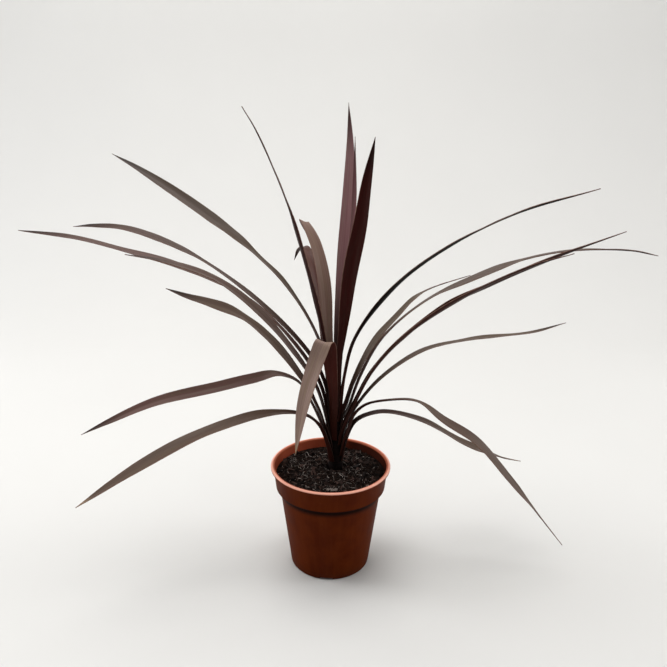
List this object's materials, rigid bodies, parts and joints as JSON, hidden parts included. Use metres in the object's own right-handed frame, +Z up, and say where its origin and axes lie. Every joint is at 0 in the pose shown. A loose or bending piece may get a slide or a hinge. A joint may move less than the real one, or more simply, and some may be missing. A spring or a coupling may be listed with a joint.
{
  "type": "potted red star cabbage tree",
  "caption": "Young cordyline with narrow arching burgundy leaves that fan from a short dark stem, growing in compost in a round tapered plastic nursery pot that stands on its flat foot.",
  "frame": {"origin": "centre of the pot's foot, on the surface the pot stands on", "axes": "+Z up along the pot's axis, -Y towards the front of the plant, +X to the right along its widest spread of leaves"},
  "size_m": [0.6882, 0.2464, 0.4921],
  "materials": {
    "pot_plastic": "terracotta-coloured moulded polypropylene, satin, with a paler rim",
    "compost": "dark damp peat and bark crumbs with pale fibres",
    "stem": "near-black young bark ringed by leaf scars",
    "leaf": "leathery burgundy-brown blade with fine lengthwise veins, greyer on its upper face, dark below, with thin reddish margins"
  },
  "bodies": {
    "root": {"pot": "pot_plastic", "compost": "compost", "stem": "stem", "leaf_01": "leaf", "leaf_02": "leaf", "leaf_03": "leaf", "leaf_04": "leaf", "leaf_05": "leaf", "leaf_06": "leaf", "leaf_07": "leaf", "leaf_08": "leaf", "leaf_09": "leaf", "leaf_10": "leaf", "leaf_11": "leaf", "leaf_12": "leaf", "leaf_13": "leaf", "leaf_14": "leaf", "leaf_15": "leaf", "leaf_16": "leaf", "leaf_17": "leaf", "leaf_18": "leaf", "leaf_19": "leaf", "leaf_20": "leaf", "leaf_21": "leaf", "leaf_22": "leaf"}
  },
  "joints": []
}
